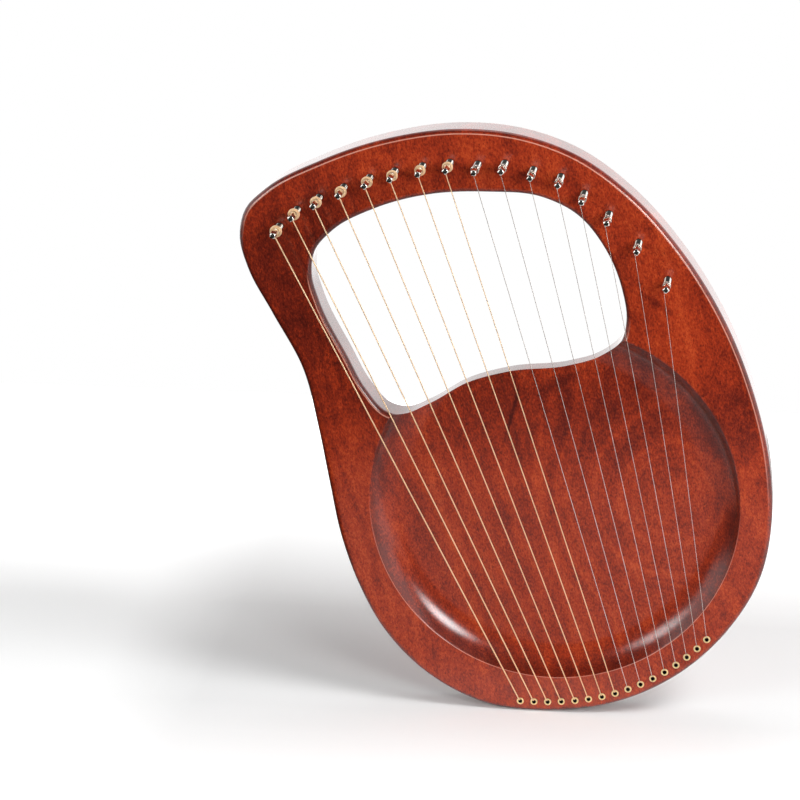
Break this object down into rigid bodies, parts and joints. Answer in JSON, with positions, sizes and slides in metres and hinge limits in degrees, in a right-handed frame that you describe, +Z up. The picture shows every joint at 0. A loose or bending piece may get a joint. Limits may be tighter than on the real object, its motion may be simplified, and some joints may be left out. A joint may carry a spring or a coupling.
{
  "type": "lyre harp",
  "caption": "Lyre harp with a carved board body, a round dish, a hand opening, strings fanned from brass eyelets to turning pins, and a sound chamber behind.",
  "frame": {"origin": "middle of the whole harp's box, at the lowest point of its lower edge", "axes": "+X to the listener's right, along the treble side; -Y out of the face that carries the strings; +Z up towards the pins"},
  "size_m": [0.402, 0.061, 0.4552],
  "materials": {
    "lacquered_mahogany": "gloss lacquer over red-brown stain",
    "back_mahogany": "gloss lacquer over red-brown stain",
    "spruce": "planed, bare",
    "nickel_plate": "bright nickel plate",
    "brass": "polished",
    "bronze_winding": "round-wound bronze wire",
    "plain_steel": "drawn music wire"
  },
  "bodies": {
    "frame": {"body": "lacquered_mahogany", "back_plate": "back_mahogany", "back_brace_upper": "spruce", "back_brace_lower": "spruce", "eyelet_01": "brass", "eyelet_02": "brass", "eyelet_03": "brass", "eyelet_04": "brass", "eyelet_05": "brass", "eyelet_06": "brass", "eyelet_07": "brass", "eyelet_08": "brass", "eyelet_09": "brass", "eyelet_10": "brass", "eyelet_11": "brass", "eyelet_12": "brass", "eyelet_13": "brass", "eyelet_14": "brass", "eyelet_15": "brass", "eyelet_16": "brass", "string_01": "bronze_winding", "string_02": "bronze_winding", "string_03": "bronze_winding", "string_04": "bronze_winding", "string_05": "bronze_winding", "string_06": "bronze_winding", "string_07": "bronze_winding", "string_08": "bronze_winding", "string_09": "plain_steel", "string_10": "plain_steel", "string_11": "plain_steel", "string_12": "plain_steel", "string_13": "plain_steel", "string_14": "plain_steel", "string_15": "plain_steel", "string_16": "plain_steel"},
    "pin_01": {"tuning_pin_01": "nickel_plate"},
    "pin_02": {"tuning_pin_02": "nickel_plate"},
    "pin_03": {"tuning_pin_03": "nickel_plate"},
    "pin_04": {"tuning_pin_04": "nickel_plate"},
    "pin_05": {"tuning_pin_05": "nickel_plate"},
    "pin_06": {"tuning_pin_06": "nickel_plate"},
    "pin_07": {"tuning_pin_07": "nickel_plate"},
    "pin_08": {"tuning_pin_08": "nickel_plate"},
    "pin_09": {"tuning_pin_09": "nickel_plate"},
    "pin_10": {"tuning_pin_10": "nickel_plate"},
    "pin_11": {"tuning_pin_11": "nickel_plate"},
    "pin_12": {"tuning_pin_12": "nickel_plate"},
    "pin_13": {"tuning_pin_13": "nickel_plate"},
    "pin_14": {"tuning_pin_14": "nickel_plate"},
    "pin_15": {"tuning_pin_15": "nickel_plate"},
    "pin_16": {"tuning_pin_16": "nickel_plate"}
  },
  "joints": [
    {"name": "pin_01_turn", "type": "hinge", "parent": "frame", "child": "pin_01", "pos_m": [-0.17, 0.0005, 0.3785], "axis": [0, 1, 0], "range_deg": [-405, 60]},
    {"name": "pin_02_turn", "type": "hinge", "parent": "frame", "child": "pin_02", "pos_m": [-0.1565, 0.0005, 0.3918], "axis": [0, 1, 0], "range_deg": [-405, 60]},
    {"name": "pin_03_turn", "type": "hinge", "parent": "frame", "child": "pin_03", "pos_m": [-0.14, 0.0005, 0.4014], "axis": [0, 1, 0], "range_deg": [-405, 60]},
    {"name": "pin_04_turn", "type": "hinge", "parent": "frame", "child": "pin_04", "pos_m": [-0.1215, 0.0005, 0.4098], "axis": [0, 1, 0], "range_deg": [-405, 60]},
    {"name": "pin_05_turn", "type": "hinge", "parent": "frame", "child": "pin_05", "pos_m": [-0.1022, 0.0005, 0.4176], "axis": [0, 1, 0], "range_deg": [-405, 60]},
    {"name": "pin_06_turn", "type": "hinge", "parent": "frame", "child": "pin_06", "pos_m": [-0.0835, 0.0005, 0.423], "axis": [0, 1, 0], "range_deg": [-405, 60]},
    {"name": "pin_07_turn", "type": "hinge", "parent": "frame", "child": "pin_07", "pos_m": [-0.063, 0.0005, 0.4275], "axis": [0, 1, 0], "range_deg": [-405, 60]},
    {"name": "pin_08_turn", "type": "hinge", "parent": "frame", "child": "pin_08", "pos_m": [-0.0429, 0.0005, 0.4306], "axis": [0, 1, 0], "range_deg": [-405, 60]},
    {"name": "pin_09_turn", "type": "hinge", "parent": "frame", "child": "pin_09", "pos_m": [-0.0223, 0.0005, 0.4299], "axis": [0, 1, 0], "range_deg": [-405, 60]},
    {"name": "pin_10_turn", "type": "hinge", "parent": "frame", "child": "pin_10", "pos_m": [-0.0025, 0.0005, 0.4312], "axis": [0, 1, 0], "range_deg": [-405, 60]},
    {"name": "pin_11_turn", "type": "hinge", "parent": "frame", "child": "pin_11", "pos_m": [0.0186, 0.0005, 0.4271], "axis": [0, 1, 0], "range_deg": [-405, 60]},
    {"name": "pin_12_turn", "type": "hinge", "parent": "frame", "child": "pin_12", "pos_m": [0.0387, 0.0005, 0.4223], "axis": [0, 1, 0], "range_deg": [-405, 60]},
    {"name": "pin_13_turn", "type": "hinge", "parent": "frame", "child": "pin_13", "pos_m": [0.056, 0.0005, 0.4104], "axis": [0, 1, 0], "range_deg": [-405, 60]},
    {"name": "pin_14_turn", "type": "hinge", "parent": "frame", "child": "pin_14", "pos_m": [0.0744, 0.0005, 0.3955], "axis": [0, 1, 0], "range_deg": [-405, 60]},
    {"name": "pin_15_turn", "type": "hinge", "parent": "frame", "child": "pin_15", "pos_m": [0.0965, 0.0005, 0.3748], "axis": [0, 1, 0], "range_deg": [-405, 60]},
    {"name": "pin_16_turn", "type": "hinge", "parent": "frame", "child": "pin_16", "pos_m": [0.1185, 0.0005, 0.3473], "axis": [0, 1, 0], "range_deg": [-405, 60]}
  ]
}
